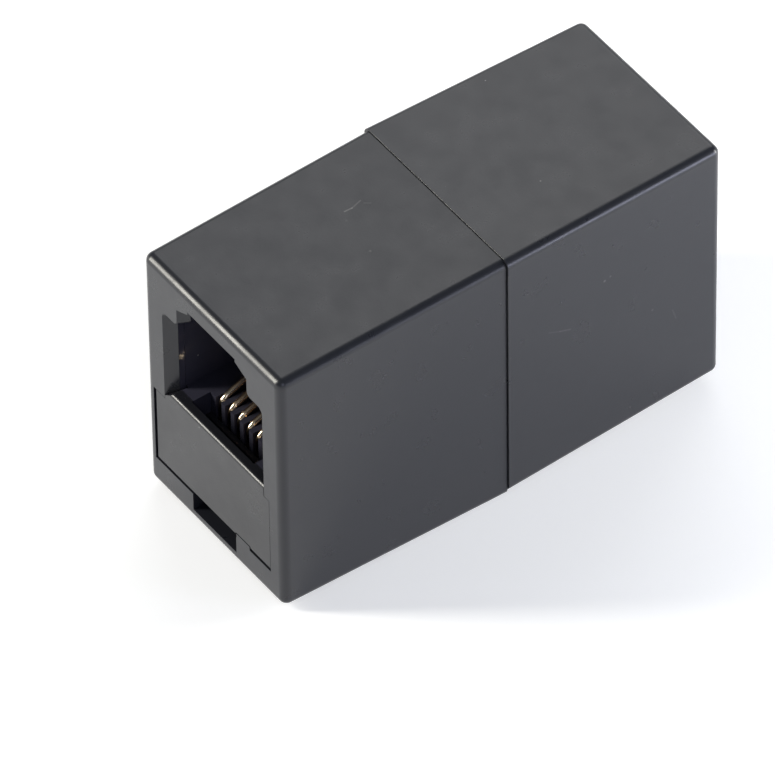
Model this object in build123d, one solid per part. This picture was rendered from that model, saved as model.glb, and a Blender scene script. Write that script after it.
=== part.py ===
from build123d import *
import os
from math import cos, radians, sin, tan

# A telephone inline coupler: two drafted half shells snapped together, with a six-way socket in each
# end face, joined inside by six short leads. Millimetres, +Z up. The origin is on the ground under the
# middle: X runs across, Y from the front end face to the rear one. Every half is drawn in its own
# frame first, with its end face on Y = 0 and Y running inwards.

# Contact wires
contact_count = 6
contact_pitch = 1.02
wire_diameter = 0.46
wire_knee_depth = 2.45
wire_knee_rise = -0.15
wire_climb_angle = 22.5
wire_knee_radius = 0.80
wire_run_drop = 2.80
wire_tip_inset = 0.45
wire_tail_gap = 0.77
wire_gap = 0.02
wire_sides = 8
wire_bend_chords = 2

# Socket piece: the plug space, its walls and the wire carrier's pocket
plug_width = 9.80
plug_height = 7.18
plug_depth = 11.30
socket_side_wall = 1.68
socket_back_wall = 1.00
socket_base = 7.22
latch_space = 2.88
latch_way_inset = 1.50
jaw_width = 1.25
jaw_depth = 1.05
jaw_drop = 0.40
comb_slot_depth = 0.80
comb_gap = 0.08
comb_reach_below = 2.90
comb_reach_above = 0.80
flex_slot_length = 5.80
floor_slab = 1.85
well_margin = 0.90
well_sink = 1.56

# Front plate of the socket piece, set in the shell's end face
plate_lip = 0.70
plate_shoulder_drop = 0.90
plate_left = 6.75
plate_right = 6.05
lip_corner_run = 0.80
lip_corner_fall = 0.60
lip_radius = 0.25
groove = 0.30
seam = 0.03
key_from_window = 0.05
key_width = 1.45
key_height = 0.34
key_gap = 0.10

# Wire carrier
carrier_margin = 1.35
carrier_height = 3.12
carrier_front_wall = 0.35
carrier_flange = 0.50
carrier_flange_side = 0.70
carrier_flange_drop = 0.60
carrier_ridge = 0.22
carrier_ridge_length = 1.60
carrier_ridge_from_back = 3.00

# Shell walls
side_wall = 0.87
floor_wall = 0.87
roof_wall = 0.87
end_wall = 1.27
fit_gap = 0.05
seat_gap = 0.03
rail_height = 1.78
rail_width = 1.30
rail_centre = 4.55
window_left = -2.60
window_width = 4.80
rib_root = 0.43
catch_depth = 0.38
catch_length = 0.90
catch_height = 6.00

# Opening in the shell's end face
opening_margin = 0.60
slot_margin = 0.45
lead_in_depth = 0.80
slot_height = 2.27
slot_corner_run = 1.25
slot_corner_fall = 0.57
slot_corner_step = 0.25
slot_root_radius = 0.40
opening_corner_radius = 0.50

# Outside of the two halves
front_room = 5.60
rear_room = 5.19
joint_gap = 0.01
front_side_taper = 0.17
front_top_taper = 0.40
front_bottom_taper = 0.45
rear_side_taper = 0.34
rear_top_taper = 0.20
rear_bottom_taper = 0.35
rear_lift = 0.30
edge_radius = 0.60
parting_edge_radius = 0.03
inner_corner_radius = 0.35

# Snap joint between the halves
tongue_wall = 0.47
tongue_length = 2.00
tongue_end_gap = 0.10
bead_width = 6.00
bead_height = 0.18
bead_length = 0.60

# Leads and crimps
lead_side_gap = 0.10
lead_straight = 0.80
lead_arch_flat = 0.30
lead_bend_chords = 6
crimp_rise = 2.20
crimp_side_gap = 0.18
crimp_length = 1.80
crimp_flat = 0.07
crimp_flat_length = 0.55
crimp_flat_spacing = 0.90
core_end_gap = 0.20
lead_gap = 0.10

# Worked out from the sizes above
socket_width = plug_width + 2 * socket_side_wall
socket_depth = plug_depth + socket_back_wall
latch_way_width = plug_width - 2 * latch_way_inset
latch_gap = latch_way_width - 2 * jaw_width
lip_half = plug_width / 2 + opening_margin - fit_gap
contact_span = (contact_count - 1) * contact_pitch
well_width = contact_span + 2 * well_margin
carrier_width = contact_span + 2 * carrier_margin
key_left = window_left + window_width + key_from_window
front_bottom = front_bottom_taper
socket_bottom = front_bottom + floor_wall + rail_height
plug_floor = socket_bottom + socket_base
plug_roof = plug_floor + plug_height
socket_top = plug_roof + latch_space
cavity_width = socket_width + 2 * fit_gap
cavity_top = socket_top + fit_gap
end_width = cavity_width + 2 * side_wall
end_height = cavity_top + roof_wall - front_bottom
rear_bottom = front_bottom + rear_lift
sill_top = socket_bottom - groove
plate_shoulder = plug_floor - plate_shoulder_drop
carrier_top = plug_floor - floor_slab - seat_gap
carrier_bottom = carrier_top - carrier_height
wire_radius = wire_diameter / 2
slot_half = wire_radius + wire_gap
comb_slot_half = wire_radius + comb_gap
wire_knee = plug_floor + wire_knee_rise
wire_run = wire_knee - wire_run_drop
wire_tip_depth = plug_depth + wire_tip_inset
wire_tip_rise = wire_knee + (wire_tip_depth - wire_knee_depth) * tan(radians(wire_climb_angle))
slot_start = wire_knee_depth - slot_half
carrier_front = slot_start - carrier_front_wall
carrier_back = socket_depth + seat_gap + carrier_flange
tail_depth = carrier_back + wire_tail_gap
crimp_bottom = wire_run + crimp_rise
crimp_top = crimp_bottom + crimp_length
wire_end = (crimp_bottom + crimp_top) / 2
lead_bottom = crimp_top + lead_gap
lead_diameter = contact_pitch - lead_side_gap
crimp_diameter = contact_pitch - crimp_side_gap
front_length = socket_depth + front_room
rear_length = socket_depth + rear_room
total_length = front_length + joint_gap + rear_length
contact_places = [i * contact_pitch - contact_span / 2 for i in range(contact_count)]


def block(x0, x1, y0, y1, z0, z1):
    """A box between two corners."""
    return Pos((x0 + x1) / 2, (y0 + y1) / 2, (z0 + z1) / 2) * Box(x1 - x0, y1 - y0, z1 - z0)


def across(width, y0, y1, z0, z1):
    """A box centred across the coupler."""
    return block(-width / 2, width / 2, y0, y1, z0, z1)


def end_plane(y):
    """A drawing plane across the coupler at depth y: its x is X and its y is Z."""
    return Plane(origin=(0, y, 0), x_dir=(1, 0, 0), z_dir=(0, -1, 0))


def prism(face, y0, y1):
    """A flat outline drawn in X and Z, carried from depth y0 to depth y1."""
    return extrude(end_plane(y0) * face, amount=-(y1 - y0))


def rounded_bar(width, y0, y1, z0, z1, radius):
    """A bar along Y whose four long edges are rounded."""
    face = Pos(0, (z0 + z1) / 2) * RectangleRounded(width, z1 - z0, radius)
    return prism(face, y0, y1)


def mirrored(right_side):
    """Closes an outline, given its right side from the bottom to the top."""
    left_side = [(-x, z) for x, z in reversed(right_side)]
    return Polygon(*right_side, *left_side)


def round_section(radius):
    """A round section drawn with a few flats that touch the circle."""
    return RegularPolygon(radius, wire_sides, major_radius=False, rotation=180 / wire_sides)


def round_bar(radius, height):
    """An upright bar of the round section."""
    return extrude(round_section(radius), amount=height)


def bent_bar(radius, corners, bend_radius, chords):
    """The round section carried along a run of corners, each rounded off in a few chords."""
    corners = [Vector(*corner) for corner in corners]
    points = [corners[0]]
    for before, corner, after in zip(corners, corners[1:], corners[2:]):
        into = (corner - before).normalized()
        away = (after - corner).normalized()
        inward = (away - into * into.dot(away)).normalized()
        turn = radians(into.get_angle(away))
        start = corner - into * (bend_radius * tan(turn / 2))
        for step in range(chords + 1):
            angle = turn * step / chords
            points.append(start + (into * sin(angle) + inward * (1 - cos(angle))) * bend_radius)
    path = Polyline(*points, corners[-1])
    plane = Plane(origin=path @ 0, x_dir=(1, 0, 0), z_dir=path % 0)
    return sweep(plane * round_section(radius), path=path, transition=Transition.RIGHT)


def opening_face(flare):
    """The opening's outline: the plug's width, and over it the latch's slot with slanted steps. Flare
    widens both."""
    wide = plug_width / 2 + flare * opening_margin
    slot = latch_way_width / 2 + flare * slot_margin
    slot_top = plug_roof + slot_height
    step = slot_top - slot_corner_step
    face = mirrored([
        (wide, plate_shoulder + seam),
        (wide, plug_roof),
        (slot, plug_roof),
        (slot, step - slot_corner_fall),
        (slot - slot_corner_run, step),
        (slot - slot_corner_run, slot_top),
    ])
    roots = [v for v in face.vertices() if abs(v.Y - plug_roof) < seam and abs(v.X) < slot + seam]
    face = fillet(roots, slot_root_radius)
    corners = [v for v in face.vertices() if abs(v.Y - plug_roof) < seam and abs(v.X) > wide - seam]
    return fillet(corners, opening_corner_radius)


def opening():
    """The space cut from the end wall: flared at the outside to lead the plug in, then straight."""
    outside = end_plane(0) * opening_face(1)
    inside = end_plane(lead_in_depth) * opening_face(0)
    return loft([outside, inside], ruled=True) + prism(opening_face(0), lead_in_depth, end_wall)


def drafted_block(length, bottom, side_taper, top_taper, bottom_taper):
    """A block with six flat sides that grows from its end face on Y = 0 to its far face at Y = length."""
    top = bottom + end_height
    half = end_width / 2
    wide = half + side_taper
    low = bottom - bottom_taper
    high = top + top_taper
    near = [(-half, 0, bottom), (half, 0, bottom), (half, 0, top), (-half, 0, top)]
    far = [(-wide, length, low), (wide, length, low), (wide, length, high), (-wide, length, high)]
    walls = [[near[i - 1], near[i], far[i], far[i - 1]] for i in range(len(near))]
    faces = [Face(Wire.make_polygon(outline)) for outline in [near, far, *walls]]
    return Solid(Shell(faces))


def half_shell(length, bottom, side_taper, top_taper, bottom_taper):
    """One half of the casing, with its end wall on Y = 0 and its mouth open at Y = length."""
    shell = drafted_block(length, bottom, side_taper, top_taper, bottom_taper)
    mouth = length - seam
    shell = fillet([e for e in shell.edges() if e.center().Y < mouth], edge_radius)
    shell = fillet([e for e in shell.edges() if e.center().Y > mouth], parting_edge_radius)

    floor = bottom + floor_wall
    shell -= rounded_bar(cavity_width, end_wall, length, floor, cavity_top, inner_corner_radius)
    shell -= opening()
    shell -= block(-plate_left, plate_right, 0, end_wall, sill_top, plate_shoulder + seam)
    shell -= block(window_left, window_left + window_width, 0, end_wall, floor, sill_top)
    shell += block(key_left, key_left + key_width, 0, end_wall, sill_top - rib_root, sill_top + key_height)

    for side in (-1, 1):
        rail = across(rail_width, end_wall - rib_root, socket_depth, floor - rib_root, sill_top)
        rail += across(rail_width, end_wall + seat_gap, socket_depth, sill_top, socket_bottom)
        shell += Pos(side * rail_centre, 0, 0) * rail
        shell += catch(side)
    return shell


def catch(side):
    """A ramped catch on the side wall that the socket piece snaps past."""
    wall = side * cavity_width / 2
    start = socket_depth + fit_gap
    middle = (plug_floor + plug_roof) / 2
    ramp = Polygon(
        (wall + side * rib_root, start),
        (wall - side * catch_depth, start),
        (wall, start + catch_length),
        (wall + side * rib_root, start + catch_length),
    )
    return Pos(0, 0, middle - catch_height / 2) * extrude(ramp, amount=catch_height, dir=(0, 0, 1))


def lap_bar(y0, y1, grow):
    """The space between the two lapped skirts: grow widens it on every side."""
    low = front_bottom + floor_wall - tongue_wall - grow
    high = cavity_top + tongue_wall + grow
    width = cavity_width + 2 * tongue_wall + 2 * grow
    return rounded_bar(width, y0, y1, low, high, inner_corner_radius)


def beads(y, grow):
    """The two snap beads, one over and one under the tongue, centred on depth y."""
    low = front_bottom + floor_wall - tongue_wall - grow
    high = cavity_top + tongue_wall + grow
    section = Polygon((-bead_length / 2 - grow, 0), (bead_length / 2 + grow, 0), (0, bead_height + grow))
    plane = Plane(origin=(-bead_width / 2 - grow, y, high), x_dir=(0, 1, 0), z_dir=(1, 0, 0))
    upper = extrude(plane * section, amount=bead_width + 2 * grow)
    lower = Pos(0, 0, high + low) * mirror(upper, about=Plane.XY)
    return upper + lower


def front_shell():
    """The front half: its mouth is rebated inside for the rear half's tongue."""
    shell = half_shell(front_length, front_bottom, front_side_taper, front_top_taper, front_bottom_taper)
    depth = tongue_length + tongue_end_gap - joint_gap
    shell -= lap_bar(front_length - depth, front_length, fit_gap)
    bead_place = front_length + joint_gap - tongue_length / 2
    return shell - beads(bead_place, fit_gap)


def rear_shell():
    """The rear half, in its own frame: a tongue with snap beads runs on past its mouth."""
    shell = half_shell(rear_length, rear_bottom, rear_side_taper, rear_top_taper, rear_bottom_taper)
    root = rear_length - tongue_wall
    tongue = lap_bar(root, rear_length + tongue_length, 0)
    floor = rear_bottom + floor_wall
    end = rear_length + tongue_length
    tongue -= rounded_bar(cavity_width, root, end, floor, cavity_top, inner_corner_radius)
    return shell + tongue + beads(end - tongue_length / 2, 0)


def front_plate(back):
    """The front plate: shoulders under the shell's strips, and a flared lip with one cut corner."""
    straight = lip_half - opening_margin
    flared = mirrored([(straight, back), (straight, lead_in_depth), (lip_half, 0)])
    lip = Pos(0, 0, plate_shoulder) * extrude(flared, amount=plug_floor - plate_shoulder, dir=(0, 0, 1))
    corner = Polygon(
        (-lip_half, plug_floor - lip_corner_fall),
        (lip_corner_run - lip_half, plug_floor),
        (-lip_half, plug_floor),
    )
    lip -= prism(corner, 0, back)
    return lip + block(groove - plate_left, plate_right - seam, 0, back, socket_bottom, plate_shoulder)


def socket_piece():
    """The socket: front plate, plug space, latch way with its two jaws, wire comb and carrier pocket."""
    front = end_wall + seat_gap
    body = rounded_bar(socket_width, front, socket_depth, socket_bottom, socket_top, inner_corner_radius)
    body -= across(plug_width, front, plug_depth, plug_floor, plug_roof)
    body -= across(latch_way_width, front, plug_depth, plug_roof, plug_roof + jaw_drop)
    body -= across(latch_gap, front, plug_depth, plug_roof, socket_top)
    body -= across(latch_way_width, front + jaw_depth, plug_depth, plug_roof, socket_top)

    plate = front_plate(front)
    key_top = sill_top + key_height + key_gap
    plate -= block(key_left - key_gap, key_left + key_width + key_gap, 0, front, socket_bottom, key_top)
    lip_edges = [e for e in plate.edges() if abs(e.center().Y) < seam and e.center().Z > plug_floor - seam]
    body += fillet(lip_edges, lip_radius)

    pocket = carrier_width + 2 * fit_gap
    pocket_bottom = carrier_bottom - fit_gap
    pocket_top = carrier_top + seat_gap
    body -= across(pocket, carrier_front - fit_gap, socket_depth, pocket_bottom, pocket_top)
    ridge = pocket + 2 * carrier_ridge
    ridge_start = socket_depth - carrier_ridge_from_back - fit_gap
    ridge_end = ridge_start + carrier_ridge_length + 2 * fit_gap
    body -= across(ridge, ridge_start, ridge_end, carrier_bottom + fit_gap, carrier_top - fit_gap)

    body -= across(well_width, plate_lip, carrier_front, carrier_top - well_sink, plug_floor)
    body -= across(well_width, plate_lip, slot_start, carrier_top, plug_floor)
    flex_end = slot_start + flex_slot_length
    comb_low = wire_tip_rise - comb_reach_below
    comb_high = wire_tip_rise + comb_reach_above
    for x in contact_places:
        left = x - comb_slot_half
        right = x + comb_slot_half
        body -= block(left, right, slot_start, flex_end, carrier_top, plug_floor)
        body -= block(left, right, plug_depth, plug_depth + comb_slot_depth, comb_low, comb_high)
    return body


def contact_carrier():
    """The comb that holds the six wires' lower runs, with a flange behind the socket piece."""
    body = across(carrier_width, carrier_front, carrier_back, carrier_bottom, carrier_top)
    flange_width = carrier_width + 2 * carrier_flange_side
    low = carrier_bottom - carrier_flange_drop
    body += across(flange_width, socket_depth + seat_gap, carrier_back, low, carrier_top)
    ridge = carrier_width + 2 * carrier_ridge
    ridge_start = socket_depth - carrier_ridge_from_back
    low_ridge = carrier_bottom + 2 * fit_gap
    high_ridge = carrier_top - 2 * fit_gap
    body += across(ridge, ridge_start, ridge_start + carrier_ridge_length, low_ridge, high_ridge)
    for x in contact_places:
        left = x - slot_half
        right = x + slot_half
        body -= block(left, right, slot_start, carrier_back, wire_run - slot_half, carrier_top)
    return body


def contact_wire(x):
    """One round spring wire: tail, lower run, riser at the front, knee, and the arm up to the comb."""
    corners = [
        (x, tail_depth, wire_end),
        (x, tail_depth, wire_run),
        (x, wire_knee_depth, wire_run),
        (x, wire_knee_depth, wire_knee),
        (x, wire_tip_depth, wire_tip_rise),
    ]
    return bent_bar(wire_radius, corners, wire_knee_radius, wire_bend_chords)


def crimp_barrel(x):
    """A short upright tube over the wire's tail and the lead's bared core, pressed flat in two places."""
    radius = crimp_diameter / 2
    body = round_bar(radius, crimp_length) - round_bar(slot_half, crimp_length)
    for side in (-crimp_flat_spacing / 2, crimp_flat_spacing / 2):
        middle = crimp_length / 2 + side
        body -= Pos(0, radius, middle) * Box(crimp_diameter, 2 * crimp_flat, crimp_flat_length)
    return Pos(x, tail_depth, crimp_bottom) * body


def lead(x):
    """An insulated lead that arches over from the front crimp to the rear one, with bared ends."""
    reach = total_length / 2 - tail_depth
    radius = reach - lead_arch_flat / 2
    crown = lead_bottom + lead_straight + radius
    corners = [
        (x, -reach, lead_bottom),
        (x, -reach, crown),
        (x, reach, crown),
        (x, reach, lead_bottom),
    ]
    body = bent_bar(lead_diameter / 2, corners, radius, lead_bend_chords)
    core_bottom = wire_end + core_end_gap
    core = round_bar(wire_radius, lead_bottom + lead_straight - core_bottom)
    for y in (-reach, reach):
        body += Pos(x, y, core_bottom) * core
    return body


def at_front(part):
    """Carries a part from its half's own frame to the front end."""
    return Pos(0, -total_length / 2, 0) * part


def at_rear(part):
    """Carries a part from its half's own frame to the rear end, turned about."""
    return Pos(0, total_length / 2, 0) * Rot(0, 0, 180) * part


def all_parts():
    """Every piece of the coupler by name, in its place."""
    parts = {
        "front_shell": at_front(front_shell()),
        "rear_shell": at_rear(rear_shell()),
    }
    for end, place in (("front", at_front), ("rear", at_rear)):
        parts[f"{end}_jack_body"] = place(socket_piece())
        parts[f"{end}_contact_carrier"] = place(contact_carrier())
        for number, x in enumerate(contact_places, 1):
            parts[f"{end}_contact_{number}"] = place(contact_wire(x))
            parts[f"{end}_crimp_{number}"] = place(crimp_barrel(x))
    for number, x in enumerate(contact_places, 1):
        parts[f"lead_{number}"] = lead(x)
    return parts


os.makedirs("parts", exist_ok=True)
for name, part in all_parts().items():
    part.label = name
    export_step(part, f"parts/{name}.step")
    print(f"{name}: {part.volume:.2f} mm3")
print(f"end face {end_width:.2f} x {end_height:.2f}, length {total_length:.2f}")
print(f"lead bend radius {total_length / 2 - tail_depth - lead_arch_flat / 2:.2f}")
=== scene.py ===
from math import cos, pi, radians, sin

import bpy
import numpy as np
from mathutils import Matrix, Vector


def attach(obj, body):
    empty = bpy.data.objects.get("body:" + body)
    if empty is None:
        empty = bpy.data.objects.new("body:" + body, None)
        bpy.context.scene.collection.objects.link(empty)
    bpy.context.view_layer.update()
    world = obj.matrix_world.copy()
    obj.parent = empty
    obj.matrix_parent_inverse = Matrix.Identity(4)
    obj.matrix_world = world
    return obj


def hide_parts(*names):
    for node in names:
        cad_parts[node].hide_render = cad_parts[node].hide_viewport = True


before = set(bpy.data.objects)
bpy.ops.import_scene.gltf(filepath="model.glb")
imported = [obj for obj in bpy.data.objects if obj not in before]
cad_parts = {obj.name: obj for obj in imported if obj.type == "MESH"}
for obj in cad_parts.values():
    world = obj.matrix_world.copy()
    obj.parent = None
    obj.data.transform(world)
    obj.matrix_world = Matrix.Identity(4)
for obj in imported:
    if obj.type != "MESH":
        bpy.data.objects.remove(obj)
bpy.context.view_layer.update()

# The coupler as a buyer sees it lying on a white table: the camera looks down on the front socket and
# the +X side. A long lens from most of a metre away keeps the edges nearly parallel. Angles in degrees.
MM = 0.001
view_turn = 54.4076
view_height = 46.2143
view_roll = -0.8939
view_distance = 0.81985
view_target = Vector((0.972, -4.548, 7.571)) * MM
lens = 584.78
sensor_width = 36.0
nearest_seen = 0.01


def put(name, data):
    """Puts a camera, a lamp or a mesh into the scene as an object at the origin."""
    obj = bpy.data.objects.new(name, data)
    bpy.context.scene.collection.objects.link(obj)
    return obj


def aimed(at, back):
    """The placing of a camera or a lamp at a point, with its back turned along a direction."""
    return Matrix.Translation(at) @ back.to_track_quat("Z", "Y").to_matrix().to_4x4()


turn = radians(view_turn)
height = radians(view_height)
towards_camera = Vector((sin(turn) * cos(height), -cos(turn) * cos(height), sin(height)))
camera_data = bpy.data.cameras.new("camera")
camera_data.lens = lens
camera_data.sensor_width = sensor_width
camera_data.clip_start = nearest_seen
camera = put("camera", camera_data)
upright = aimed(view_target + towards_camera * view_distance, towards_camera)
camera.matrix_world = upright @ Matrix.Rotation(radians(view_roll), 4, "Z")
bpy.context.scene.camera = camera
bpy.context.scene.view_settings.view_transform = "Standard"

# The table and the light: a white sheet that keeps the contact shadow, a low white backdrop all round, a
# dim cool room and five soft lamps. The top mirrors the back lamp, and the front lamp draws the pale line
# on the front edges.
table_half = 3.0
table_lift = 0.43
backdrop_reach = 2.8
backdrop_tall = 0.4
backdrop_sides = 64
backdrop_lift = 1.0
paper_white = (0.86, 0.86, 0.86, 1.0)
paper_roughness = 0.9
lift_colour = (1.0, 1.0, 1.0, 1.0)
room_colour = (0.82, 0.91, 1.0, 1.0)
room_strength = 0.17
lamp_aim = (0.0, 0.0, 0.01)
white_light = (1.0, 1.0, 1.0)
warm_light = (1.0, 0.97, 0.88)
cool_light = (0.76, 0.79, 1.0)


def lamp(name, wide, tall, power, colour, at, to=lamp_aim):
    """A soft lamp at a place, turned towards another. Sizes in metres, power in watts."""
    data = bpy.data.lights.new(name, "AREA")
    data.shape = "RECTANGLE"
    data.size = wide
    data.size_y = tall
    data.energy = power
    data.color = colour
    put(name, data).matrix_world = aimed(Vector(at), Vector(at) - Vector(to))


lamp("back_lamp", wide=0.60, tall=0.60, power=2.30, colour=white_light, at=(-0.50, 0.50, 0.60))
lamp("front_lamp", wide=0.07, tall=0.32, power=2.2, colour=warm_light,
     at=(-0.2646, -0.3566, 0.210), to=(0.0, -0.0177, 0.021))
lamp("fill_lamp", wide=0.35, tall=0.35, power=0.7, colour=cool_light, at=(0.56, -0.18, 0.38))
lamp("side_lamp", wide=0.06, tall=0.06, power=0.10, colour=cool_light,
     at=(0.14, 0.10, 0.035), to=(0.008, 0.009, 0.02))
lamp("rear_lamp", wide=0.03, tall=0.04, power=0.050, colour=white_light,
     at=(0.050, 0.085, 0.030), to=(0.008, 0.015, 0.015))

world = bpy.data.worlds.new("room")
bpy.context.scene.world = world
world.use_nodes = True
room_light = world.node_tree.nodes["Background"]
room_light.inputs["Color"].default_value = room_colour
room_light.inputs["Strength"].default_value = room_strength


def white_sheet(name, lift):
    """White paper, lifted towards white where the camera sees it, itself or in gloss or through glass."""
    sheet = bpy.data.materials.new(name)
    sheet.use_nodes = True
    sheet.cycles.emission_sampling = "NONE"
    tree = sheet.node_tree
    paper = tree.nodes["Principled BSDF"]
    paper.inputs["Base Color"].default_value = paper_white
    paper.inputs["Roughness"].default_value = paper_roughness
    paper.inputs["Specular IOR Level"].default_value = 0.0
    paper.inputs["Emission Color"].default_value = lift_colour
    path = tree.nodes.new("ShaderNodeLightPath")
    seen = path.outputs["Is Camera Ray"]
    for kind in ("Is Glossy Ray", "Is Transmission Ray"):
        either = tree.nodes.new("ShaderNodeMath")
        either.operation = "MAXIMUM"
        tree.links.new(seen, either.inputs[0])
        tree.links.new(path.outputs[kind], either.inputs[1])
        seen = either.outputs[0]
    strength = tree.nodes.new("ShaderNodeMath")
    strength.operation = "MULTIPLY"
    strength.inputs[1].default_value = lift
    tree.links.new(seen, strength.inputs[0])
    tree.links.new(strength.outputs[0], paper.inputs["Emission Strength"])
    return sheet


def stand(name, points, faces, lift):
    """Puts a white sheet of the stage into the scene, from points in metres."""
    mesh = bpy.data.meshes.new(name)
    mesh.from_pydata(points.tolist(), [], faces.tolist())
    mesh.materials.append(white_sheet(f"{name}_sheet", lift))
    stage = put(name, mesh)


table = table_half * np.array([(-1, -1, 0), (1, -1, 0), (1, 1, 0), (-1, 1, 0)])
stand("table", table, np.arange(4)[None, :], table_lift)

# The backdrop is a ring: point i of n stands at the angle 2 * pi * i / n, at its foot and at its top.
ring_turn = np.linspace(0.0, 2 * pi, backdrop_sides, endpoint=False)
ring_x = backdrop_reach * np.cos(ring_turn)
ring_y = backdrop_reach * np.sin(ring_turn)
ring_foot = np.stack([ring_x, ring_y, np.zeros(backdrop_sides)], 1)
ring = np.concatenate([ring_foot, ring_foot + (0, 0, backdrop_tall)])
foot = np.arange(backdrop_sides)
next_foot = np.roll(foot, -1)
ring_faces = np.stack([foot, foot + backdrop_sides, next_foot + backdrop_sides, next_foot], 1)
stand("backdrop", ring, ring_faces, backdrop_lift)

# Case: two half shells, injection moulded in near-black ABS. The tool was lightly blasted, so the skin has
# a fine satin grain over a faint unevenness. Handling has left dust and a few hairline scratches.
case_colour = (0.0165, 0.0175, 0.0230, 1.0)
# Pale dust, also used for the painted highlights along the joint.
dust_and_highlight_colour = (0.34, 0.33, 0.32, 1.0)
# Painted light: the paler bluish colour laid inside the case and the sockets, lifting their shade.
core_painted_light_colour = (0.045, 0.044, 0.064, 1.0)
case_roughness = 0.30
case_grain = 5200.0
skin_bump = 0.10
grain_depth = 0.00003
skin_unevenness = 0.3
wave_scale = 240.0
mottle_scale = 420.0
dust_scale = 620.0
speck_edge, speck_heart = 0.045, 0.02
clean_share, dusty_share = 0.86, 0.90
mottle_low, mottle_high = 0.35, 0.65
glossier, duller = 0.03, 0.04
core_middle = (0.0, 0.0, 10.6)
core_fade = 0.05
core_smoother = -0.23
case_polish_and_light_half = (6.0, 16.87, 8.4)


def add(tree, kind, **settings):
    """A new node; settings that name an input set its value, and the others are the node's own."""
    node = tree.nodes.new(f"ShaderNode{kind}")
    for name, value in settings.items():
        title = name.replace("_", " ").title()
        if title in node.inputs:
            node.inputs[title].default_value = value
        else:
            setattr(node, name, value)
    return node


def sockets(group, ins, outs):
    """Names a group's sockets, each given as a name and a kind."""
    for way, named in (("INPUT", ins), ("OUTPUT", outs)):
        for name, kind in named.items():
            group.interface.new_socket(name, in_out=way, socket_type=f"NodeSocket{kind}")
    return group.nodes.new("NodeGroupInput").outputs, group.nodes.new("NodeGroupOutput").inputs


def moulded_skin():
    """The skin of a moulded plastic part: Height for the bump, Mottle for uneven gloss, Specks for dust."""
    group = bpy.data.node_groups.new("moulded_skin", "ShaderNodeTree")
    given, made = sockets(
        group,
        {"Coordinates": "Vector", "Grain Scale": "Float", "Unevenness": "Float"},
        {"Height": "Float", "Mottle": "Float", "Specks": "Float"},
    )
    link = group.links.new
    grain = add(group, "TexNoise", detail=3.0, roughness=0.6)
    link(given["Coordinates"], grain.inputs["Vector"])
    link(given["Grain Scale"], grain.inputs["Scale"])
    waves = add(group, "TexNoise", scale=wave_scale, detail=2.0, roughness=0.45)
    link(given["Coordinates"], waves.inputs["Vector"])
    uneven = add(group, "Math", operation="MULTIPLY_ADD")
    link(waves.outputs["Fac"], uneven.inputs[0])
    link(given["Unevenness"], uneven.inputs[1])
    link(grain.outputs["Fac"], uneven.inputs[2])
    link(uneven.outputs[0], made["Height"])
    mottle = add(group, "TexNoise", scale=mottle_scale, detail=4.0, roughness=0.6)
    link(given["Coordinates"], mottle.inputs["Vector"])
    link(mottle.outputs["Fac"], made["Mottle"])
    cells = add(group, "TexVoronoi", scale=dust_scale)
    link(given["Coordinates"], cells.inputs["Vector"])
    near = add(group, "MapRange", from_min=speck_edge, from_max=speck_heart)
    link(cells.outputs["Distance"], near.inputs["Value"])
    few = add(group, "MapRange", from_min=clean_share, from_max=dusty_share)
    split = add(group, "SeparateColor")
    link(cells.outputs["Color"], split.inputs["Color"])
    link(split.outputs["Red"], few.inputs["Value"])
    specks = add(group, "Math", operation="MULTIPLY")
    link(near.outputs["Result"], specks.inputs[0])
    link(few.outputs["Result"], specks.inputs[1])
    link(specks.outputs[0], made["Specks"])
    return group


skin_group = moulded_skin()


def hair_mark():
    """One scratch or speck: Mask is 1 on the line from Start to End and falls to 0 at Width from it."""
    group = bpy.data.node_groups.new("hair_mark", "ShaderNodeTree")
    given, made = sockets(
        group,
        {"Coordinates": "Vector", "Start": "Vector", "End": "Vector", "Width": "Float"},
        {"Mask": "Float"},
    )
    link = group.links.new
    run = add(group, "VectorMath", operation="SUBTRACT")
    link(given["End"], run.inputs[0])
    link(given["Start"], run.inputs[1])
    off = add(group, "VectorMath", operation="SUBTRACT")
    link(given["Coordinates"], off.inputs[0])
    link(given["Start"], off.inputs[1])
    across = add(group, "VectorMath", operation="DOT_PRODUCT")
    link(off.outputs[0], across.inputs[0])
    link(run.outputs[0], across.inputs[1])
    square = add(group, "VectorMath", operation="DOT_PRODUCT")
    link(run.outputs[0], square.inputs[0])
    link(run.outputs[0], square.inputs[1])
    share = add(group, "Math", operation="DIVIDE", use_clamp=True)
    link(across.outputs["Value"], share.inputs[0])
    link(square.outputs["Value"], share.inputs[1])
    foot = add(group, "VectorMath", operation="SCALE")
    link(run.outputs[0], foot.inputs[0])
    link(share.outputs[0], foot.inputs["Scale"])
    away = add(group, "VectorMath", operation="DISTANCE")
    link(off.outputs[0], away.inputs[0])
    link(foot.outputs[0], away.inputs[1])
    mask = add(group, "MapRange", interpolation_type="SMOOTHSTEP", from_max=0.0)
    link(away.outputs["Value"], mask.inputs["Value"])
    link(given["Width"], mask.inputs["From Min"])
    link(mask.outputs["Result"], made["Mask"])
    return group


mark_group = hair_mark()


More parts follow.
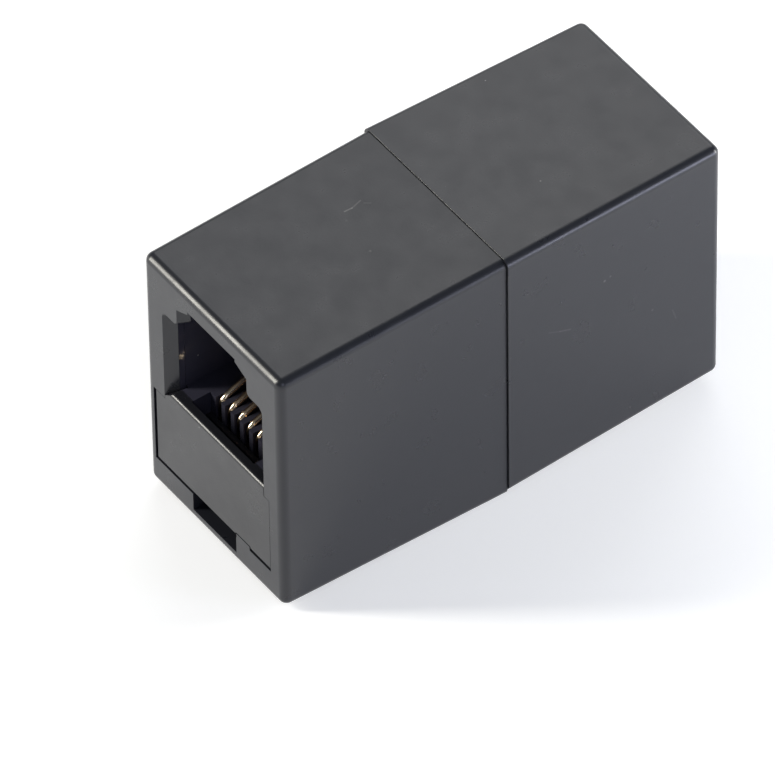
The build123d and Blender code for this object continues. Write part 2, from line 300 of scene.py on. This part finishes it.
def polished_core_painted_light():
    """Core box, polished and with painted light: Mask is 1 in a box of Half Size about Centre, else 0."""
    group = bpy.data.node_groups.new("polished_core_painted_light", "ShaderNodeTree")
    given, made = sockets(
        group,
        {"Coordinates": "Vector", "Centre": "Vector", "Half Size": "Vector"},
        {"Mask": "Float"},
    )
    link = group.links.new
    off = add(group, "VectorMath", operation="SUBTRACT")
    link(given["Coordinates"], off.inputs[0])
    link(given["Centre"], off.inputs[1])
    distance = add(group, "VectorMath", operation="ABSOLUTE")
    link(off.outputs[0], distance.inputs[0])
    room = add(group, "VectorMath", operation="SUBTRACT")
    link(given["Half Size"], room.inputs[0])
    link(distance.outputs[0], room.inputs[1])
    apart = add(group, "SeparateXYZ")
    link(room.outputs[0], apart.inputs["Vector"])
    flat = add(group, "Math", operation="MINIMUM")
    link(apart.outputs["X"], flat.inputs[0])
    link(apart.outputs["Y"], flat.inputs[1])
    least = add(group, "Math", operation="MINIMUM")
    link(flat.outputs[0], least.inputs[0])
    link(apart.outputs["Z"], least.inputs[1])
    mask = add(group, "MapRange", from_min=-core_fade * MM, from_max=core_fade * MM)
    link(least.outputs[0], mask.inputs["Value"])
    link(mask.outputs["Result"], made["Mask"])
    return group


core_painted_light_group = polished_core_painted_light()


def plastic(name, colour, roughness, grain, bump, marks=(), polish_and_light_half=None):
    """A moulded plastic with the shared skin: grain in the bump, mottled gloss and pale dust specks. Each
    mark is a start, an end and a half width in millimetres, and how pale it is. The last argument is half
    the size of the core box, in millimetres, where the mould was polished: the plastic is glossier there,
    and its colour is painted paler there, a painted light lifting the shade inside."""
    material = bpy.data.materials.new(name)
    material.use_nodes = True
    tree = material.node_tree
    link = tree.links.new
    body = tree.nodes["Principled BSDF"]
    place = add(tree, "TexCoord")
    skin = add(tree, "Group", node_tree=skin_group)
    skin.inputs["Grain Scale"].default_value = grain
    skin.inputs["Unevenness"].default_value = skin_unevenness
    link(place.outputs["Object"], skin.inputs["Coordinates"])
    # Dust specks and marks, the joint's painted highlights among them, mix the colour towards the dust
    # colour.
    dust_and_highlight_mix = add(tree, "Mix", data_type="RGBA")
    dust_and_highlight_mix.inputs["A"].default_value = colour
    dust_and_highlight_mix.inputs["B"].default_value = dust_and_highlight_colour
    pale = skin.outputs["Specks"]
    for start, end, width, strength in marks:
        mark = add(tree, "Group", node_tree=mark_group)
        mark.inputs["Start"].default_value = Vector(start) * MM
        mark.inputs["End"].default_value = Vector(end) * MM
        mark.inputs["Width"].default_value = width * MM
        link(place.outputs["Object"], mark.inputs["Coordinates"])
        joined = add(tree, "Math", operation="MULTIPLY_ADD")
        joined.inputs[1].default_value = strength
        link(mark.outputs["Mask"], joined.inputs[0])
        link(pale, joined.inputs[2])
        pale = joined.outputs[0]
    link(pale, dust_and_highlight_mix.inputs["Factor"])
    link(dust_and_highlight_mix.outputs["Result"], body.inputs["Base Color"])
    gloss = add(tree, "MapRange", from_min=mottle_low, from_max=mottle_high,
                to_min=roughness - glossier, to_max=roughness + duller)
    link(skin.outputs["Mottle"], gloss.inputs["Value"])
    link(gloss.outputs["Result"], body.inputs["Roughness"])
    if polish_and_light_half:
        polish_and_light_mask = add(tree, "Group", node_tree=core_painted_light_group)
        polish_and_light_mask.inputs["Centre"].default_value = Vector(core_middle) * MM
        polish_and_light_mask.inputs["Half Size"].default_value = Vector(polish_and_light_half) * MM
        link(place.outputs["Object"], polish_and_light_mask.inputs["Coordinates"])
        # Painted light: inside the core box the colour is mixed towards the paler core colour.
        painted_core_light = add(tree, "Mix", data_type="RGBA")
        painted_core_light.inputs["A"].default_value = colour
        painted_core_light.inputs["B"].default_value = core_painted_light_colour
        link(polish_and_light_mask.outputs["Mask"], painted_core_light.inputs["Factor"])
        link(painted_core_light.outputs["Result"], dust_and_highlight_mix.inputs["A"])
        polish = add(tree, "Math", operation="MULTIPLY_ADD")
        polish.inputs[1].default_value = core_smoother
        link(polish_and_light_mask.outputs["Mask"], polish.inputs[0])
        link(gloss.outputs["Result"], polish.inputs[2])
        link(polish.outputs[0], body.inputs["Roughness"])
    relief = add(tree, "Bump", strength=bump, distance=grain_depth)
    link(skin.outputs["Height"], relief.inputs["Height"])
    link(relief.outputs["Normal"], body.inputs["Normal"])
    return material


def dress(node, material):
    """Gives a node of the frame its material."""
    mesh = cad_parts[node].data
    mesh.materials.clear()
    mesh.materials.append(material)


# Each mark is where it starts and ends, its half width and how pale it is. The top and the side have
# hairline scratches and specks; the pale lines along the joint are painted highlight, on the halves' edges
# and over the shade in the joint's groove.
top_marks = [
    ((-2.44, -5.29, 21.58), (-2.40, -4.73, 21.59), 0.09, 0.34),
    ((-2.40, -4.73, 21.59), (-2.61, -3.90, 21.61), 0.09, 0.20),
    ((-2.29, -3.85, 21.61), (-2.02, -3.50, 21.62), 0.09, 0.10),
    ((-1.72, -5.67, 21.57), (-1.72, -5.67, 21.57), 0.14, 0.08),
    ((1.41, -6.06, 21.56), (1.41, -6.06, 21.56), 0.15, 0.18),
]
side_marks = [
    ((7.69, 8.08, 15.24), (7.69, 8.08, 15.24), 0.16, 0.30),
    ((7.68, 8.55, 15.38), (7.68, 8.55, 15.38), 0.13, 0.20),
    ((7.61, 12.04, 10.04), (7.61, 12.04, 10.04), 0.14, 0.16),
    ((7.58, 13.72, 8.98), (7.57, 14.01, 8.04), 0.10, 0.07),
    ((7.78, 3.51, 13.32), (7.76, 4.41, 12.88), 0.10, 0.07),
    ((7.76, 4.41, 12.88), (7.74, 5.27, 12.54), 0.10, 0.13),
]
# Painted highlight: pale lines along the joint's edges and over the shade in its groove.
joint_painted_highlights = [
    ((7.84, 0.30, 1.00), (7.84, 0.30, 20.60), 0.12, 0.03),
    ((7.825, 0.185, 1.00), (7.825, 0.185, 20.60), 0.05, 0.80),
    ((7.62, 0.35, 21.10), (7.66, 0.55, 21.03), 0.22, 0.20),
]
# Inside the case, the core box is painted paler and bluish: painted light lifting the shade inside.
case_plastic = plastic(
    "case_plastic", case_colour, case_roughness, case_grain, skin_bump,
    marks=top_marks + side_marks + joint_painted_highlights, polish_and_light_half=case_polish_and_light_half)
dress("front_shell", case_plastic)
dress("rear_shell", case_plastic)

# Socket bodies: one moulding at each end, of the same black plastic from another tool. The front plate is
# satin like the case, and the walls inside are glossier where the steel cores were polished; there they
# are also painted paler, a painted light lifting the shade inside.
socket_colour = (0.0155, 0.0160, 0.0200, 1.0)
socket_roughness = 0.30
socket_grain = 6000.0
socket_polish_and_light_half = (8.0, 16.87, 12.0)

socket_plastic = plastic(
    "socket_plastic", socket_colour, socket_roughness, socket_grain, skin_bump, polish_and_light_half=socket_polish_and_light_half)
dress("front_jack_body", socket_plastic)
dress("rear_jack_body", socket_plastic)

# Wire carriers: a comb of glass-filled black nylon at each end, pushed in under the socket's floor. Its
# skin is duller and coarser than the case.
carrier_colour = (0.0160, 0.0160, 0.0220, 1.0)
carrier_roughness = 0.48
carrier_grain = 3600.0
carrier_bump = 0.25

carrier_plastic = plastic("carrier_plastic", carrier_colour, carrier_roughness, carrier_grain, carrier_bump)
dress("front_contact_carrier", carrier_plastic)
dress("rear_contact_carrier", carrier_plastic)

# Contact wires: six phosphor bronze spring wires at each end, bent from straight drawn wire and gold
# coated; below the knee their colour is a painted shade, dark bronze. Each lies in the carrier, comes up
# in front and slopes back to the socket's comb.
contact_count = 6
contact_pitch = 1.02
wire_radius = 0.23
wire_bend = 0.80
wire_crown = 0.10
half_length = 17.70
tail_depth = 13.60
knee_depth = 2.45
tip_depth = 11.75
tail_rise = 10.47
run_rise = 7.37
knee_rise = 10.17
tip_rise = 14.022
crown_rings = 7
flute_depth = 0.07
gold_colour = (0.94, 0.76, 0.54, 1.0)
gold_tint = (0.74, 0.50, 0.30, 1.0)
gold_roughness = 0.17
gold_drawn = (1.0, 0.08, 0.08)
# Painted shade: the dark colour of each contact wire below its knee, and where it ends along the wire.
shank_painted_shade = (0.22, 0.13, 0.08, 1.0)
shank_shade_end = 15.70
shank_shade_fade = 0.2
drawn_scale = 9000.0
drawn_bump = 0.15
drawn_depth = 0.00001
tint_scale = 900.0
tint_low, tint_high = 0.40, 0.68
drawn_low, drawn_high = 0.3, 0.7
drawn_glossier, drawn_duller = 0.04, 0.05
both_ends = (("front", 1.0), ("rear", -1.0))
contact_x = contact_pitch * (np.arange(contact_count) - (contact_count - 1) / 2)


def rounded_route(corners, bend, steps=14):
    """Straight runs joined by arcs: from start = corner - into * bend * tan(turn / 2), an arc's point at
    angle a is start + bend * (sin(a) * into + (1 - cos(a)) * inward)."""
    corners = np.array(corners, float)
    points = [corners[:1]]
    for before, corner, after in zip(corners, corners[1:], corners[2:]):
        into = (corner - before) / np.linalg.norm(corner - before)
        away = (after - corner) / np.linalg.norm(after - corner)
        turn = np.arccos(into @ away)
        inward = (away - into * np.cos(turn)) / np.sin(turn)
        angle = np.linspace(0.0, turn, steps)[:, None]
        start = corner - into * bend * np.tan(turn / 2)
        points.append(start + bend * (np.sin(angle) * into + (1 - np.cos(angle)) * inward))
    return np.concatenate([*points, corners[-1:]])


def smooth_piece(name, points, faces):
    """Puts a smoothly shaded piece into the scene, from points in millimetres."""
    mesh = bpy.data.meshes.new(name)
    mesh.from_pydata((points * MM).tolist(), [], faces)
    mesh.polygons.foreach_set("use_smooth", np.ones(len(mesh.polygons), bool))
    return put(name, mesh)


def bar(name, x, route, radius, crown, flutes=0, lay=0.0, around=24):
    """A round bar along a route of (y, z) points in millimetres. Ring i at angle t is route(i) + r(i) *
    (cos(t) * across + sin(t) * normal(i)); at both ends r falls by a quarter circle of radius crown, and
    the ends are closed by a pole. Flutes multiply r by 1 - depth * (1 - cos(flutes * t + lay * s)) / 2,
    where s is how far along the bar the ring is."""
    steps = np.diff(route, axis=0)
    steps /= np.linalg.norm(steps, axis=1)[:, None]
    ends = np.concatenate([steps[:1], steps, steps[-1:]])
    tangent = ends[:-1] + ends[1:]
    tangent /= np.linalg.norm(tangent, axis=1)[:, None]
    angle = np.linspace(pi / 2, 0.0, crown_rings)[:, None]
    head = route[0] + tangent[0] * crown * (1 - np.sin(angle))
    tail = route[-1] - tangent[-1] * crown * (1 - np.sin(angle[::-1]))
    line = np.concatenate([head, route[1:-1], tail])
    head_turned = np.repeat(tangent[:1], crown_rings, 0)
    tail_turned = np.repeat(tangent[-1:], crown_rings, 0)
    turned = np.concatenate([head_turned, tangent[1:-1], tail_turned])
    fall = crown * (1 - np.cos(angle[:, 0]))
    rings = len(line)
    size = np.full(rings, radius)
    size[:crown_rings] -= fall
    size[-crown_rings:] -= fall[::-1]
    along = np.concatenate([[0.0], np.cumsum(np.linalg.norm(np.diff(line, axis=0), axis=1))])
    t = np.linspace(0.0, 2 * pi, around, endpoint=False)
    r = size[:, None] * (1 - flute_depth * (1 - np.cos(flutes * t + lay * along[:, None])) / 2)
    verts = np.empty((rings, around, 3))
    verts[..., 0] = x + r * np.cos(t)
    verts[..., 1] = line[:, :1] - r * np.sin(t) * turned[:, 1:]
    verts[..., 2] = line[:, 1:] + r * np.sin(t) * turned[:, :1]
    poles = np.array([[x, *line[0]], [x, *line[-1]]])
    index = np.arange(rings * around).reshape(rings, around)
    after = np.roll(index, -1, axis=1)
    quads = np.stack([index[:-1], index[1:], after[1:], after[:-1]], -1).reshape(-1, 4)
    first = np.stack([np.full(around, rings * around), index[0], after[0]], -1)
    last = np.stack([np.full(around, rings * around + 1), after[-1], index[-1]], -1)
    points = np.concatenate([verts.reshape(-1, 3), poles])
    obj = smooth_piece(name, points, quads.tolist() + first.tolist() + last.tolist())
    run = obj.data.attributes.new("along", "FLOAT", "POINT")
    run.data.foreach_set("value", np.concatenate([np.repeat(along, around), [0.0, along[-1]]]))
    return obj


def fit(piece, material, slot, *replaced):
    """Gives a piece its material, and puts it on the coupler in place of CAD nodes. Slot is not used."""
    piece.data.materials.append(material)
    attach(piece, "root")
    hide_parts(*replaced)


def metal(name, colour, tint, roughness, drawn, shaded_shank=None):
    """A drawn or coated metal: fine lines stretched by the drawn factors, and a mottled tint. The optional
    pair is how far along the wire a painted shade ends, in millimetres, and the dark colour painted before
    it."""
    material = bpy.data.materials.new(name)
    material.use_nodes = True
    tree = material.node_tree
    link = tree.links.new
    body = tree.nodes["Principled BSDF"]
    body.inputs["Metallic"].default_value = 1.0
    place = add(tree, "TexCoord")
    stretch = add(tree, "Mapping", scale=drawn)
    link(place.outputs["Object"], stretch.inputs["Vector"])
    lines = add(tree, "TexNoise", scale=drawn_scale, detail=2.0)
    link(stretch.outputs["Vector"], lines.inputs["Vector"])
    patches = add(tree, "TexNoise", scale=tint_scale, detail=3.0)
    link(place.outputs["Object"], patches.inputs["Vector"])
    shade = add(tree, "Mix", data_type="RGBA")
    shade.inputs["A"].default_value = colour
    shade.inputs["B"].default_value = tint
    spread = add(tree, "MapRange", from_min=tint_low, from_max=tint_high)
    link(patches.outputs["Fac"], spread.inputs["Value"])
    link(spread.outputs["Result"], shade.inputs["Factor"])
    link(shade.outputs["Result"], body.inputs["Base Color"])
    # Painted shade: up to the given length along the wire, the colour is the dark shade colour.
    if shaded_shank:
        start, shank_shade_colour = shaded_shank
        along = add(tree, "Attribute", attribute_name="along")
        out_of_shade = add(tree, "MapRange", from_min=start - shank_shade_fade, from_max=start + shank_shade_fade)
        link(along.outputs["Fac"], out_of_shade.inputs["Value"])
        shank_shading = add(tree, "Mix", data_type="RGBA")
        shank_shading.inputs["A"].default_value = shank_shade_colour
        link(out_of_shade.outputs["Result"], shank_shading.inputs["Factor"])
        link(shade.outputs["Result"], shank_shading.inputs["B"])
        link(shank_shading.outputs["Result"], body.inputs["Base Color"])
    gloss = add(tree, "MapRange", from_min=drawn_low, from_max=drawn_high,
                to_min=roughness - drawn_glossier, to_max=roughness + drawn_duller)
    link(lines.outputs["Fac"], gloss.inputs["Value"])
    link(gloss.outputs["Result"], body.inputs["Roughness"])
    relief = add(tree, "Bump", strength=drawn_bump, distance=drawn_depth)
    link(lines.outputs["Fac"], relief.inputs["Height"])
    link(relief.outputs["Normal"], body.inputs["Normal"])
    return material


gold = metal(
    "contact_gold", gold_colour, gold_tint, gold_roughness, gold_drawn, shaded_shank=(shank_shade_end, shank_painted_shade))
contact_route = rounded_route(
    [(tail_depth, tail_rise), (tail_depth, run_rise), (knee_depth, run_rise), (knee_depth, knee_rise),
     (tip_depth, tip_rise)], wire_bend)
for end, side in both_ends:
    for number, x in enumerate(contact_x, 1):
        route = contact_route * (side, 1.0) - (side * half_length, 0.0)
        wire = bar(f"contact_wire_{end}_{number}", side * x, route, wire_radius, wire_crown)
        fit(wire, gold, "contact_gold", f"{end}_contact_{number}")

# Crimps: twelve short barrels of tinned copper tube, each squeezed in two places on its outer side over a
# contact wire's tail and a lead's bared strands.
crimp_radius = 0.42
crimp_bore = 0.25
crimp_bottom = 9.57
crimp_length = 1.80
crimp_rim = 0.06
crimp_press = 0.07
press_spacing = 0.90
press_spread = 0.24
press_narrow = 6
wall_rings = 30
rim_rings = 4
tin_colour = (0.66, 0.66, 0.64, 1.0)
tin_tint = (0.50, 0.50, 0.49, 1.0)
tin_roughness = 0.34
tin_drawn = (1.0, 1.0, 0.1)


def barrel(name, x, y, facing, around=32):
    """A barrel wall about an upright axis. Its section runs up the outside, over the rim, down the bore
    and round the other rim; the outside is radius - press * sum(exp(-((z - place) / spread)^2)) *
    max(0, facing * sin(t))^narrow, which squeezes it in two places on one side."""
    z = np.linspace(crimp_rim, crimp_length - crimp_rim, wall_rings)
    bend = np.linspace(0.0, pi / 2, rim_rings + 1)[1:]
    rim_r = crimp_radius - crimp_rim * (1 - np.cos(bend))
    rim_z = crimp_rim * (1 - np.sin(bend))
    outer_wall = np.full(wall_rings, crimp_radius)
    inner_wall = np.full(wall_rings, crimp_bore)
    section_r = np.concatenate([outer_wall, rim_r, inner_wall, rim_r[::-1]])
    section_z = np.concatenate([z, crimp_length - rim_z, z[::-1], rim_z[::-1]])
    outside = np.concatenate([np.ones(wall_rings + rim_rings), np.zeros(wall_rings), np.ones(rim_rings)])
    t = np.linspace(0.0, 2 * pi, around, endpoint=False)
    places = crimp_length / 2 + press_spacing / 2 * np.array([-1.0, 1.0])
    dent = np.exp(-(((section_z[:, None] - places) / press_spread) ** 2)).sum(1) * outside
    side = np.maximum(0.0, facing * np.sin(t)) ** press_narrow
    r = section_r[:, None] - crimp_press * dent[:, None] * side
    verts = np.empty((*r.shape, 3))
    verts[..., 0] = x + r * np.cos(t)
    verts[..., 1] = y + r * np.sin(t)
    verts[..., 2] = crimp_bottom + section_z[:, None]
    index = np.arange(r.size).reshape(r.shape)
    up = np.roll(index, -1, axis=0)
    quads = np.stack([index, np.roll(index, -1, axis=1), np.roll(up, -1, axis=1), up], -1)
    return smooth_piece(name, verts.reshape(-1, 3), quads.reshape(-1, 4).tolist())


tin = metal("crimp_tin", tin_colour, tin_tint, tin_roughness, tin_drawn)
for end, side in both_ends:
    for number, x in enumerate(contact_x, 1):
        crimp = barrel(f"crimp_barrel_{end}_{number}", side * x, side * (tail_depth - half_length), side)
        fit(crimp, tin, "crimp_tin", f"{end}_crimp_{number}")

# Leads: six short insulated leads, one colour to a way, that arch over from the front crimps to the rear
# ones. The jacket is soft glossy PVC, cut square, and seven tinned copper strands stick out at each end.
lead_radius = 0.46
lead_reach = 4.10
lead_bend = 3.95
lead_bottom = 11.47
lead_crown = 16.22
lead_rim = 0.06
core_bottom = 10.67
core_inside = 0.50
core_rim = 0.03
outer_strands = 6
strand_lay = 1.4
jacket_roughness = 0.28
jacket_grain = 2600.0
jacket_bump = 0.12
strand_colour = (0.78, 0.62, 0.52, 1.0)
strand_tint = (0.62, 0.55, 0.50, 1.0)
strand_roughness = 0.30
strand_drawn = (1.0, 1.0, 0.2)
lead_colours = dict(
    white=(0.80, 0.79, 0.75, 1.0), black=(0.02, 0.02, 0.02, 1.0), red=(0.55, 0.03, 0.02, 1.0),
    green=(0.03, 0.28, 0.07, 1.0), yellow=(0.80, 0.58, 0.04, 1.0), blue=(0.03, 0.10, 0.45, 1.0))

strands = metal("tinned_copper", strand_colour, strand_tint, strand_roughness, strand_drawn)
lead_route = rounded_route(
    [(-lead_reach, lead_bottom), (-lead_reach, lead_crown), (lead_reach, lead_crown),
     (lead_reach, lead_bottom)], lead_bend, steps=28)
for number, ((shade, colour), x) in enumerate(zip(lead_colours.items(), contact_x), 1):
    skin = plastic(f"lead_{shade}", colour, jacket_roughness, jacket_grain, jacket_bump)
    jacket = bar(f"lead_jacket_{number}", x, lead_route, lead_radius, lead_rim)
    fit(jacket, skin, f"lead_{shade}", f"lead_{number}")
    for end, side in both_ends:
        y = -side * lead_reach
        core_run = np.array([(y, core_bottom), (y, lead_bottom), (y, lead_bottom + core_inside)])
        core = bar(
            f"lead_core_{end}_{number}", x, core_run, wire_radius, core_rim,
            flutes=outer_strands, lay=strand_lay)
        fit(core, strands, f"lead_{shade}", f"lead_{number}")
